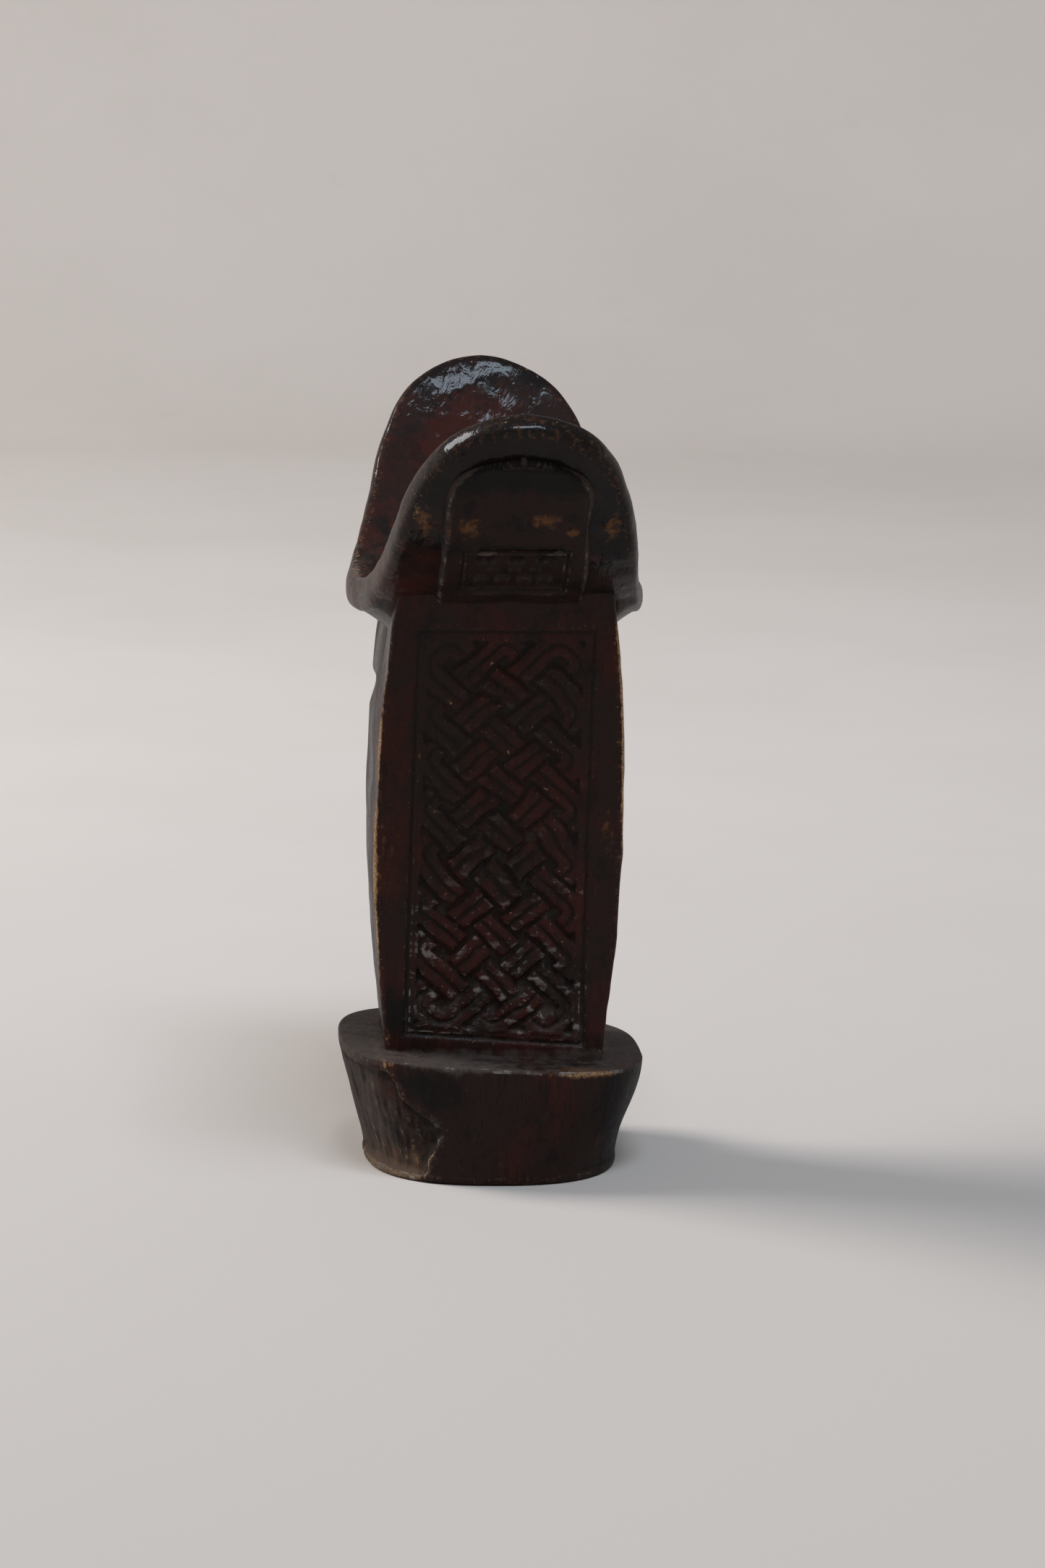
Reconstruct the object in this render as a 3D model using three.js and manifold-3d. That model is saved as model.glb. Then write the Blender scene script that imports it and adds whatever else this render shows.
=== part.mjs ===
// Carved wooden headrest of the Horn of Africa: a round foot, one broad column that widens
// upwards, and a crescent neck rest with a raised tongue under each upturned lobe.
// Millimetres, +Z up, origin at the centre of the foot's underside. The long way of the neck
// rest runs along Y, and the front of the headrest is its -Y end.

import * as THREE from 'three';
import { mergeVertices } from 'three/addons/utils/BufferGeometryUtils.js';
import Module from 'manifold-3d';

const wasm = await Module();
wasm.setup();

// ---- Driving dimensions -----------------------------------------------------------------

const totalHeight = 175;

const footHeight = 26.5;
const footTop = { halfWidth: 34, halfLength: 34.8, squareness: 2.9 };
const footBottom = { halfWidth: 28.3, halfLength: 33.7, squareness: 2.5 };
const footLevels = 7;
const brokenCorner = { cut: [30, 8], turn: -0.85, centre: [-25.2, -32.6] };

const columnBelly = { halfWidth: 27.6, height: 77 };
const columnFootHalfWidth = 24.4;
const columnFootHalfLength = 18.5;
const columnTop = { halfLength: 35, height: 130.8, plateReach: 30.3 };
const columnFlarePower = 2;         // the front and back faces lean out more and more upwards
const columnBorder = { halfWidth: 19.8, low: 30, high: 123 };

const saddleHeight = 132;           // lowest place of the surface that the neck lies on
const lobeReach = 71;               // |y| of the upper arris of each lobe's rim
const saddlePower = 2.2;
const restHalfWidth = 33;
const restTaper = 0.155;            // loss of half-width for each millimetre towards the lobe
const restMiddle = 5;               // the taper starts softly over this length
const lobeSquareness = 10;
const plateThickness = { middle: 8.3, rim: 7 };
const tipHalfWidth = 1.5;           // the first and last section of the plate

const tongueHalfWidth = 15.3;
const tongueTop = 165;
const tongueArchRise = 9.5;
const tongueArchFullness = 0.8;     // below 1 gives squarer shoulders than an ellipse
const tongueStart = 40;             // |y| on the plate above the place where the tongue begins
const tongueRelief = 3.6;           // how far the tongue stands out of the lobe's underside
const labelRelief = 2.3;            // the same below the ledge, where the label is carved
const ledgeHeight = 145.3;
const labelBorder = { halfWidth: 11.6, low: 134, high: 144 };
const fitGap = 0.3;                 // clearance under the plate's curved underside

const grooveDepth = 1;
const grooveWidth = 1.4;
const farOut = 90;                  // beyond every solid along Y

// ---- Solids and sections ----------------------------------------------------------------

function solidOf(geometry) {
  geometry.deleteAttribute('normal');
  geometry.deleteAttribute('uv');
  const merged = mergeVertices(geometry, 1e-4);
  return new wasm.Manifold(new wasm.Mesh({
    numProp: 3,
    vertProperties: new Float32Array(merged.attributes.position.array),
    triVerts: new Uint32Array(merged.index.array),
  }));
}

function geometryOf(solid) {
  const { vertProperties, triVerts } = solid.getMesh();
  const geometry = new THREE.BufferGeometry();
  geometry.setAttribute('position', new THREE.BufferAttribute(vertProperties, 3));
  geometry.setIndex(new THREE.BufferAttribute(triVerts, 1));
  geometry.computeVertexNormals();
  return geometry;
}

// An outline drawn as [x, z] pairs, swept along Y from yLow to yHigh.
function sweptAlongY(outline, yLow, yHigh, holes = []) {
  const shape = new THREE.Shape(outline.map(([x, z]) => new THREE.Vector2(x, z)));
  for (const hole of holes) {
    shape.holes.push(new THREE.Path(hole.map(([x, z]) => new THREE.Vector2(x, z))));
  }
  const geometry = new THREE.ExtrudeGeometry(shape, { depth: yHigh - yLow, bevelEnabled: false });
  geometry.rotateX(Math.PI / 2);
  geometry.translate(0, yHigh, 0);
  return solidOf(geometry);
}

// An outline drawn as [y, z] pairs, swept along X to both sides.
function sweptAlongX(outline, halfWidth) {
  const shape = new THREE.Shape(outline.map(([y, z]) => new THREE.Vector2(y, z)));
  const geometry = new THREE.ExtrudeGeometry(shape, { depth: 2 * halfWidth, bevelEnabled: false });
  geometry.translate(0, 0, -halfWidth);
  geometry.applyMatrix4(new THREE.Matrix4().makeBasis(
    new THREE.Vector3(0, 1, 0), new THREE.Vector3(0, 0, 1), new THREE.Vector3(1, 0, 0)));
  return solidOf(geometry);
}

// A closed skin through rings of equal length: the first and last ring are capped by fans.
function loft(rings) {
  const count = rings[0].length;
  const positions = rings.flat(2);
  const centreOf = (ring) => [0, 1, 2].map(
    (axis) => ring.reduce((sum, point) => sum + point[axis], 0) / count);
  positions.push(...centreOf(rings[0]), ...centreOf(rings.at(-1)));
  const lowCentre = rings.length * count;
  const highCentre = lowCentre + 1;
  const lastRing = (rings.length - 1) * count;
  const index = [];
  for (let i = 0; i < count; i += 1) {
    const next = (i + 1) % count;
    for (let ring = 0; ring < rings.length - 1; ring += 1) {
      const low = ring * count;
      const high = low + count;
      index.push(low + i, low + next, high + next, low + i, high + next, high + i);
    }
    index.push(lowCentre, next, i);
    index.push(highCentre, lastRing + i, lastRing + next);
  }
  const geometry = new THREE.BufferGeometry();
  geometry.setAttribute('position', new THREE.Float32BufferAttribute(positions, 3));
  geometry.setIndex(index);
  return solidOf(geometry);
}

// A rectangular border line, drawn on X and Z and driven through the front half along Y.
function borderPrism({ halfWidth, low, high }) {
  const rectangle = (inset) => [
    [-halfWidth + inset, low + inset], [halfWidth - inset, low + inset],
    [halfWidth - inset, high - inset], [-halfWidth + inset, high - inset],
  ];
  return sweptAlongY(rectangle(0), -farOut, 0, [rectangle(grooveWidth)]);
}

// ---- Foot -------------------------------------------------------------------------------

const mix = (a, b, share) => a + (b - a) * share;

function footRing(level) {
  const share = level / (footLevels - 1);
  const flare = share * share * (3 - 2 * share);
  const power = 2 / mix(footBottom.squareness, footTop.squareness, flare);
  const halfWidth = mix(footBottom.halfWidth, footTop.halfWidth, flare);
  const halfLength = mix(footBottom.halfLength, footTop.halfLength, flare);
  const rounded = (value) => Math.sign(value) * Math.abs(value) ** power;
  const steps = 48;
  const ring = [];
  for (let i = 0; i < steps; i += 1) {
    const angle = 2 * Math.PI * (i / steps);
    ring.push([
      halfWidth * rounded(Math.cos(angle)),
      halfLength * rounded(Math.sin(angle)),
      footHeight * share,
    ]);
  }
  return ring;
}

// The front left corner of the foot has split off along the grain.
function brokenCornerSolid() {
  const wedge = new THREE.BoxGeometry(...brokenCorner.cut, 2.2 * footHeight);
  wedge.rotateZ(brokenCorner.turn);
  wedge.translate(...brokenCorner.centre, 0);
  return solidOf(wedge);
}

function footSolid() {
  const rings = [];
  for (let level = 0; level < footLevels; level += 1) {
    rings.push(footRing(level));
  }
  return loft(rings).subtract(brokenCornerSolid());
}

// ---- The plate's curve -------------------------------------------------------------------

const saddleRise = totalHeight - saddleHeight;
const plateTop = (y) => saddleHeight + saddleRise * (Math.abs(y) / lobeReach) ** saddlePower;

function plateSlope(y) {
  const share = (Math.abs(y) / lobeReach) ** (saddlePower - 1);
  return Math.sign(y) * saddlePower * (saddleRise / lobeReach) * share;
}

function plateThicknessAt(y) {
  return mix(plateThickness.middle, plateThickness.rim, (Math.abs(y) / lobeReach) ** 2);
}

// The [y, z] place that lies depth below the upper surface, square to it.
function underPlate(y, depth) {
  const slope = plateSlope(y);
  const length = Math.hypot(1, slope);
  return [y + (slope / length) * depth, plateTop(y) - depth / length];
}

function plateHalfWidth(y) {
  const reach = Math.min(1, Math.abs(y) / lobeReach);
  const tapered = restHalfWidth - restTaper * (Math.hypot(y, restMiddle) - restMiddle);
  return tapered * Math.sqrt(1 - reach ** lobeSquareness);
}

// A line that runs along the underside of the plate, offset mm below it.
function underLine(yStart, yEnd, offset) {
  const steps = 16;
  const line = [];
  for (let i = 0; i <= steps; i += 1) {
    const y = mix(yStart, yEnd, i / steps);
    line.push(underPlate(y, plateThicknessAt(y) + offset));
  }
  return line;
}

// ---- Column -----------------------------------------------------------------------------

function columnOutline() {
  const steps = 16;
  const rise = columnBelly.height - footHeight;
  const side = [];
  for (let i = 0; i <= steps; i += 1) {
    const z = mix(footHeight, columnTop.height + 1, i / steps);
    const lean = (z - columnBelly.height) / rise;
    side.push([columnBelly.halfWidth - (columnBelly.halfWidth - columnFootHalfWidth) * lean ** 2, z]);
  }
  const left = side.map(([x, z]) => [-x, z]).reverse();
  return [...side, ...left];
}

// The side view: front and back faces that lean outwards, set in by inset, below a top line.
function columnProfile(inset, top) {
  const steps = 14;
  const front = [];
  for (let i = 0; i <= steps; i += 1) {
    const share = i / steps;
    const flare = share ** columnFlarePower;
    front.push([
      -mix(columnFootHalfLength, columnTop.halfLength, flare) + inset,
      mix(footHeight, columnTop.height, share),
    ]);
  }
  const back = front.map(([y, z]) => [-y, z]).reverse();
  return [...front, ...top, ...back].reverse();
}

function columnSolid() {
  const outline = sweptAlongY(columnOutline(), -farOut, farOut);
  const top = underLine(-columnTop.plateReach, columnTop.plateReach, fitGap);
  const body = outline.intersect(sweptAlongX(columnProfile(0, top), 2 * columnBelly.halfWidth));
  const core = sweptAlongX(columnProfile(grooveDepth, []), 2 * columnBelly.halfWidth);
  const frontLine = borderPrism(columnBorder).subtract(core);
  return body.subtract(frontLine).subtract(frontLine.rotate([0, 0, 180]));
}

// ---- Neck rest --------------------------------------------------------------------------

// Cross-sections follow each other from the front lobe's tip to the back lobe's tip.
function plateSolid() {
  const stations = 72;
  const rings = [];
  for (let i = 0; i <= stations; i += 1) {
    const y = lobeReach * Math.sin(Math.PI * (i / stations - 0.5));
    const half = Math.max(tipHalfWidth, plateHalfWidth(y));
    const top = underPlate(y, 0);
    const bottom = underPlate(y, plateThicknessAt(y));
    rings.push([
      [-half, ...top], [half, ...top],
      [half, ...bottom], [-half, ...bottom],
    ]);
  }
  return loft(rings);
}

// ---- Tongues ----------------------------------------------------------------------------

// A layer that lies between two offsets below the underside of the front lobe.
function underLayer(inner, outer) {
  const outline = [
    ...underLine(-tongueStart, -lobeReach, outer),
    ...underLine(-tongueStart, -lobeReach, inner).reverse(),
  ];
  return sweptAlongX(outline, 1.1 * tongueHalfWidth);
}

function tongueArch() {
  const steps = 16;
  const spring = tongueTop - tongueArchRise;
  const arch = [];
  for (let i = 0; i <= steps; i += 1) {
    const angle = Math.PI * (i / steps);
    arch.push([
      tongueHalfWidth * Math.cos(angle),
      spring + tongueArchRise * Math.sin(angle) ** tongueArchFullness,
    ]);
  }
  return [[-tongueHalfWidth, ledgeHeight], [tongueHalfWidth, ledgeHeight], ...arch];
}

function frontTongueSolid() {
  const lowerArea = [
    [-tongueHalfWidth, footHeight], [tongueHalfWidth, footHeight],
    [tongueHalfWidth, ledgeHeight], [-tongueHalfWidth, ledgeHeight],
  ];
  const lower = underLayer(fitGap, labelRelief).intersect(sweptAlongY(lowerArea, -farOut, 0));
  const upper = underLayer(fitGap, tongueRelief).intersect(sweptAlongY(tongueArch(), -farOut, 0));
  const groove = borderPrism(labelBorder)
    .intersect(underLayer(labelRelief - grooveDepth, labelRelief + grooveDepth));
  return lower.add(upper).subtract(groove);
}

// ---- Assembly ---------------------------------------------------------------------------

const darkWood = { color: 0x3a1d16, roughness: 0.5, metalness: 0 };
const polishedWood = { color: 0x40231c, roughness: 0.35, metalness: 0 };
const dustyWood = { color: 0x4a332b, roughness: 0.65, metalness: 0 };

const headrest = new THREE.Group();
headrest.name = 'headrest';

function addPiece(name, solid, finish, turned = false) {
  const mesh = new THREE.Mesh(geometryOf(solid), new THREE.MeshStandardMaterial(finish));
  mesh.name = name;
  mesh.rotation.z = turned ? Math.PI : 0;
  headrest.add(mesh);
}

const frontTongue = frontTongueSolid();

addPiece('foot', footSolid(), dustyWood);
addPiece('column', columnSolid(), darkWood);
addPiece('neck_rest', plateSolid(), polishedWood);
addPiece('front_tongue', frontTongue, darkWood);
addPiece('back_tongue', frontTongue, darkWood, true);

export default headrest;
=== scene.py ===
"""A carved wooden headrest: its looks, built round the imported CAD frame.

Lengths are millimetres while a skin is shaped, and metres once it becomes a Blender mesh.
+Z is up, the long way of the neck rest runs along Y and the near end is at -Y.
"""

import itertools
import math

import bpy
import numpy as np
from mathutils import Matrix, Vector


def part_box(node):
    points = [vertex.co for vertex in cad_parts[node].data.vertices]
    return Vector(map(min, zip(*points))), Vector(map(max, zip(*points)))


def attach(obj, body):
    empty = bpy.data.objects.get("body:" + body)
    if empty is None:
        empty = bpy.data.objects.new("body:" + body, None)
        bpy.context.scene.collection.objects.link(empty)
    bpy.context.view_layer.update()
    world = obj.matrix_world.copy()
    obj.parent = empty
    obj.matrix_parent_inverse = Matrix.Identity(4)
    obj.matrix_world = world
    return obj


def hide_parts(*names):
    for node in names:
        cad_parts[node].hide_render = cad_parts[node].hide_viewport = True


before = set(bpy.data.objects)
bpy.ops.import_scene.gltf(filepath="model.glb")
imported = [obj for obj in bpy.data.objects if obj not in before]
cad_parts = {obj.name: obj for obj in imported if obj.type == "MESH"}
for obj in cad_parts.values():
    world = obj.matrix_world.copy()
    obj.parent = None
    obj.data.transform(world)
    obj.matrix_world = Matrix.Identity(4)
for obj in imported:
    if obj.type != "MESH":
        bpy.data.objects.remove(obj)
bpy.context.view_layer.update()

MM = 1000.0


def node_box(name):
    """Lowest and highest corner of a CAD node, in millimetres."""
    low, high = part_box(name)
    return np.array(low) * MM, np.array(high) * MM


_, FOOT_HIGH = node_box("foot")
COLUMN_LOW, COLUMN_HIGH = node_box("column")
REST_LOW, REST_HIGH = node_box("neck_rest")

# ---- Numbers and noise -------------------


def mix(a, b, share):
    return a + (b - a) * share


def ramp(value, low, high):
    """0 below low, 1 above high, and smooth between; low may be the larger of the two."""
    t = np.clip((value - low) / (high - low), 0, 1)
    return t * t * (3 - 2 * t)


HASH_FACTORS = (73856093, 19349663, 83492791)   # large primes, one for each axis
SEED_FACTOR = 2654435761
STIR_FACTOR = 73244475
LOW_32_BITS, LOW_24_BITS = 0xFFFFFFFF, 0xFFFFFF


def hash01(cells, seed):
    """A repeatable number from 0 to 1 for each whole-number cell."""
    x, y, z = (cells[..., axis].astype(np.int64) * HASH_FACTORS[axis] for axis in range(3))
    h = (x ^ y ^ z ^ (seed * SEED_FACTOR)) & LOW_32_BITS
    for _ in range(2):
        h = ((h ^ (h >> 16)) * STIR_FACTOR) & LOW_32_BITS
    return ((h ^ (h >> 16)) & LOW_24_BITS) / LOW_24_BITS


def noise(points, size, seed):
    """Smooth noise from -1 to 1, with features about size across (one number, or x, y and z)."""
    place = points / np.asarray(size, float)
    base = np.floor(place)
    f = place - base
    f = f * f * f * (f * (6 * f - 15) + 10)
    total = np.zeros(points.shape[:-1])
    for corner in itertools.product((0, 1), repeat=3):
        weight = np.prod(np.where(corner, f, 1 - f), axis=-1)
        total += weight * hash01(base + corner, seed)
    return 2 * total - 1


def fractal(points, size, seed, octaves=3):
    """Noise with finer and fainter copies of itself added."""
    size = np.asarray(size, float)
    total = 0
    for octave in range(octaves):
        shift = 17.3 * octave           # keeps the octaves from lining up at the origin
        share = 2 ** octave
        total = total + noise(points + shift, size / share, seed + octave) / share
    return total / (2 - 0.5 ** (octaves - 1))


def scoops(points, size, seed):
    """The shallow hollows that a blade leaves: 0 in the middle of each, up to about 1 between."""
    place = points / np.asarray(size, float)
    base = np.floor(place)
    nearest = np.full(points.shape[:-1], np.inf)
    for offset in itertools.product((-1, 0, 1), repeat=3):
        cell = base + offset
        centre = cell + np.stack([hash01(cell, seed + k) for k in range(3)], axis=-1)
        nearest = np.minimum(nearest, ((place - centre) ** 2).sum(axis=-1))
    return nearest


def blob(points, centre, size):
    """1 at a centre, fading to 0 with distance; size holds the spread along x, y and z."""
    away = (points - np.array(centre, float)) / np.array(size, float)
    return np.exp(-(away ** 2).sum(axis=-1))


def blobs(points, spots):
    """The sum of several blobs, each given as its strength, centre and size."""
    return sum(strength * blob(points, centre, size) for strength, centre, size in spots)


def hump(value, centre, spread):
    """1 where the value is at the centre, fading to 0 over the spread."""
    return np.exp(-((value - centre) / spread) ** 2)


# ---- Skins: points and faces -------------

WELDS_PER_MM = 2000                 # points closer than half a thousandth of a millimetre are one
RELIEF_MASKS = (                    # name, steps of blur, and the relief in mm that fills the mask
    ("fine", 4, 0.12),
    ("broad", 30, 0.7),
)


def grid_faces(rows, columns, offset=0):
    """Quads between neighbouring points of a grid that is stored row by row."""
    index = offset + np.arange(rows * columns).reshape(rows, columns)
    quads = (index[:-1, :-1], index[:-1, 1:], index[1:, 1:], index[1:, :-1])
    return np.stack([q.ravel() for q in quads], axis=-1)


class Skin:
    """A closed surface of quads, made of grid patches whose shared edges are welded."""

    def __init__(self, patches):
        points, faces, offset = [], [], 0
        for patch in patches:
            rows, columns = patch.shape[:2]
            points.append(patch.reshape(-1, 3))
            faces.append(grid_faces(rows, columns, offset))
            offset += rows * columns
        points = np.concatenate(points)
        keys = np.round(points * WELDS_PER_MM).astype(np.int64)
        _, first, inverse = np.unique(keys, axis=0, return_index=True, return_inverse=True)
        self.points = points[first]
        self.faces = inverse.reshape(-1)[np.concatenate(faces)]
        edges = np.concatenate([self.faces[:, [a, (a + 1) % 4]] for a in range(4)])
        edges = np.unique(np.sort(edges, axis=1), axis=0)
        self.edges = edges[edges[:, 0] != edges[:, 1]]
        self.masks = {}

    def gather(self, index, values):
        count = len(self.points)
        return np.stack([np.bincount(index, values[:, k], count) for k in range(3)], axis=-1)

    def normals(self):
        a, b, c, d = (self.points[self.faces[:, k]] for k in range(4))
        across = np.cross(c - a, d - b)
        total = sum(self.gather(self.faces[:, k], across) for k in range(4))
        return total / np.maximum(np.linalg.norm(total, axis=1, keepdims=True), 1e-12)

    def blurred(self, steps):
        """The points after each has moved to the mean of its neighbours, several times."""
        a, b = self.edges[:, 0], self.edges[:, 1]
        degree = np.bincount(self.edges.ravel(), minlength=len(self.points))[:, None]
        points = self.points
        for _ in range(steps):
            points = (self.gather(a, points[b]) + self.gather(b, points[a])) / degree
        return points

    def push(self, distance, direction=None):
        """Moves each point by distance along direction, or along the surface normal."""
        direction = self.normals() if direction is None else direction
        self.points = self.points + np.asarray(distance)[..., None] * direction

    def measure_relief(self):
        """Masks of where the surface stands out of, or sinks into, its surroundings."""
        normals = self.normals()
        for name, steps, scale in RELIEF_MASKS:
            relief = ((self.points - self.blurred(steps)) * normals).sum(axis=1)
            self.masks[name] = np.clip(0.5 + 0.5 * relief / scale, 0, 1)

    def to_object(self, name):
        mesh = bpy.data.meshes.new(name)
        faces = [list(dict.fromkeys(face)) for face in self.faces.tolist()]
        faces = [face for face in faces if len(face) > 2]
        mesh.from_pydata((self.points / MM).tolist(), [], faces)
        for mask, values in self.masks.items():
            attribute = mesh.attributes.new(mask, "FLOAT", "POINT")
            attribute.data.foreach_set("value", values.astype(np.float32))
        mesh.shade_smooth()
        mesh.validate()
        piece = bpy.data.objects.new(name, mesh)
        bpy.context.scene.collection.objects.link(piece)
        return piece


def resample(line, count):
    """An open line as count points at equal distances, its ends kept."""
    steps = np.linalg.norm(np.diff(line, axis=0), axis=1)
    along = np.concatenate([[0], np.cumsum(steps)])
    wanted = np.linspace(0, along[-1], count)
    return np.stack([np.interp(wanted, along, line[:, k]) for k in range(line.shape[1])], axis=-1)


def filled(low, high, left, right):
    """A grid of points that fills the area between four border lines.

    low and high run from left to right; left and right run from low to high.
    """
    u = np.linspace(0, 1, len(low))[None, :, None]
    v = np.linspace(0, 1, len(left))[:, None, None]
    across = (1 - v) * low[None] + v * high[None]
    along = (1 - u) * left[:, None] + u * right[:, None]
    corners = ((1 - u) * (1 - v) * low[0] + u * (1 - v) * low[-1]
               + (1 - u) * v * high[0] + u * v * high[-1])
    return across + along - corners


def border_of(grid):
    """The closed border of a grid, anticlockwise, with its first point repeated at the end."""
    return np.concatenate([grid[0], grid[1:, -1], grid[-1, -2::-1], grid[-2::-1, 0]])


def outward(border):
    """Unit vectors in the plane that point out of a closed anticlockwise border."""
    ring = border[:-1]
    run = np.roll(ring, -1, axis=0) - np.roll(ring, 1, axis=0)
    out = np.stack([run[:, 1], -run[:, 0]], axis=-1)
    out = out / np.linalg.norm(out, axis=1, keepdims=True)
    return np.concatenate([out, out[:1]])


# ---- Foot --------------------------------

FOOT_HEIGHT = FOOT_HIGH[2]
FOOT_TOP = {"half": FOOT_HIGH[0] + 0.4, "reach": FOOT_HIGH[1], "power": 2.9}
FOOT_BOTTOM = {"half": 28.8, "reach": 33.7, "power": 2.5}
FOOT_SLOPE = 0.05                   # the foot's top falls a little towards +X
FOOT_ROUND_TOP, FOOT_ROUND_BOTTOM = 0.7, 1.6      # radius of the two edges
FOOT_END_SHARE = 0.8                # the outline's ends reach this share of its half-width
# The edge of the split, as heights above the ground and places across the front.
SPLIT_EDGE_Z = (0, 2, 4, 8, 12, 14, 16.5, 20, 28)
SPLIT_EDGE_X = (-16.2, -15.5, -15.0, -13.4, -12.3, -13.1, -17.2, -21.8, -25.3)
# Marked places: centre and size, after a strength where there are several.
FOOT_WORN = (
    (0.45, (-24, -26, 26), (3, 6, 3)),          # the top edge over the split
    (0.5, (1, -34, 5), (2, 9, 1.5)),            # a scrape low on the front
)
FOOT_EDGE_WORN = (20, -31, 26), (7, 14, 5)
FOOT_SCRATCHED = (-9, -33, 26), (7, 9, 2)
FOOT_DUSTY = (-9, -33, 26.5), (8, 8, 1.2)
FOOT_BLACK = (-12, -34, 21), (9, 14, 6)


def foot_area(size, across=96, along=100):
    """A rounded square as a grid of x, y points, row by row from -Y to +Y."""
    angle = np.linspace(0, math.pi / 2, 600)
    quarter = np.column_stack([size["half"] * np.sin(angle) ** (2 / size["power"]),
                               size["reach"] * np.cos(angle) ** (2 / size["power"])])
    corner = np.argmax(quarter[:, 0] > FOOT_END_SHARE * size["half"])
    end, side = quarter[:corner + 1], quarter[corner:]
    high = resample(np.concatenate([end[::-1] * (-1, 1), end[1:]]), across)
    right = resample(np.concatenate([side * (1, -1), side[::-1][1:]]), along)
    return filled(high * (1, -1), high, right * (-1, 1), right)


def foot_split(points):
    """How far the split front left corner has lost wood, from 0 to 1."""
    x, y, z = points.T
    edge = np.interp(z, SPLIT_EDGE_Z, SPLIT_EDGE_X)
    wobble = 0.7 * noise(points, 3.0, 41)
    return ramp(edge + wobble - x, 0, 2.2) * ramp(y, 2, -12)


def foot_skin():
    top, bottom = foot_area(FOOT_TOP), foot_area(FOOT_BOTTOM)
    top_ring, bottom_ring = border_of(top), border_of(bottom)
    out = outward(top_ring)
    low_round, high_round = FOOT_ROUND_BOTTOM, FOOT_ROUND_TOP
    levels = np.concatenate([
        [(low_round * (1 - math.cos(a)), low_round * (1 - math.sin(a)))
         for a in np.linspace(0, math.pi / 2, 5)],
        [(z, 0) for z in np.linspace(low_round, FOOT_HEIGHT - high_round, 42)[1:-1]],
        [(FOOT_HEIGHT - high_round * (1 - math.sin(a)), high_round * (1 - math.cos(a)))
         for a in np.linspace(0, math.pi / 2, 6)],
    ])
    rows = []
    for z, inset in levels:
        flare = ramp(z, 0, FOOT_HEIGHT)
        ring = mix(bottom_ring, top_ring, flare) - inset * out
        rows.append(np.column_stack([ring, np.full(len(ring), z)]))
    wall = np.stack(rows)

    def cap(ring, z):
        """The flat face whose border is one row of the wall."""
        face = filled(*ring_sides(ring[:, :2], top.shape[:2]))
        return np.dstack([face, np.full(face.shape[:2], z)])

    lid = cap(wall[-1], FOOT_HEIGHT)
    base = cap(wall[0], 0.0)
    skin = Skin([lid, base[:, ::-1], wall])
    high = ramp(skin.points[:, 2], 0, FOOT_HEIGHT)
    skin.points[:, 2] -= high * FOOT_SLOPE * skin.points[:, 0]
    return skin


def ring_sides(ring, shape):
    """The four border lines, as filled() takes them, of a ring that border_of() made."""
    rows, columns = shape
    low = ring[:columns]
    right = ring[columns - 1:columns + rows - 1]
    high = ring[columns + rows - 2:2 * columns + rows - 2][::-1]
    left = ring[2 * columns + rows - 3:][::-1]
    return low, high, left, right


def make_foot():
    """The foot, with masks of worn, dusty, scratched and blackened wood, and a painted highlight
    along its front top edge.
    """
    skin = foot_skin()
    points = skin.points
    z = points[:, 2]
    stands = ramp(z, 0.2, 2.5)
    top = ramp(z, FOOT_HEIGHT - 3, FOOT_HEIGHT - 1)
    split = foot_split(points)
    body = 0.9 * fractal(points, (38, 45, 30), 3) - 0.35 * scoops(points, (11, 13, 14), 5)
    ridges = noise(points, (2.3, 2.3, 30), 7) + 0.45 * noise(points, (1.1, 1.1, 12), 9)
    depth = split * (2.5 + 0.45 * ridges + 0.5 * noise(points, (6, 6, 9), 11))
    skin.push(stands * (body * (1 - 0.6 * top) - depth * (1 - 0.85 * top)))
    skin.points[:, 2] = np.maximum(skin.points[:, 2], 0.0)
    skin.measure_relief()
    points = skin.points
    x, y, z = points.T
    level = z + FOOT_SLOPE * x - FOOT_HEIGHT
    top = ramp(level, -0.9, -0.3)
    edge = ramp(level, -2.4, -0.6) * ramp(-y, 20, 30)
    arris = hump(split, 0.2, 0.16) * (1 - top)
    edge_wear = edge * (0.35 + 0.75 * blob(points, *FOOT_EDGE_WORN))
    split_wear = split * (0.3 + 0.7 * ramp(z, 12, 2))
    skin.masks["wear_and_highlight"] = np.clip(
        edge_wear + 0.6 * arris + split_wear + blobs(points, FOOT_WORN), 0, 1.4)
    top_dust = top * (0.75 + 0.3 * noise(points, 14, 45))
    split_dust = split * (0.45 + 0.4 * ramp(x, -20, -27) + 0.5 * ramp(z, 8, 2))
    skin.masks["dust_and_highlight"] = np.clip(
        top_dust + split_dust + 0.9 * blob(points, *FOOT_DUSTY), 0, 1)
    # Pale strokes: fibres on the split and its arris, scratches on the top, and a painted
    # highlight along the front top edge.
    split_chalk = split * (0.35 + 0.5 * ramp(z, 7, 2))
    skin.masks["chalk_and_glint"] = np.clip(
        split_chalk + 0.5 * arris + 0.8 * edge + 0.5 * blob(points, *FOOT_SCRATCHED), 0, 1)
    right_side = 1.1 * ramp(x, 17, 27) * (1 - top)
    top_left = 0.5 * top * ramp(-x, 12, 26)
    skin.masks["dark"] = np.clip(
        1.2 * blob(points, *FOOT_BLACK) * (1 - split) + right_side + top_left, 0, 1)
    return skin.to_object("carved_foot")


# ---- Neck rest ---------------------------

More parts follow.
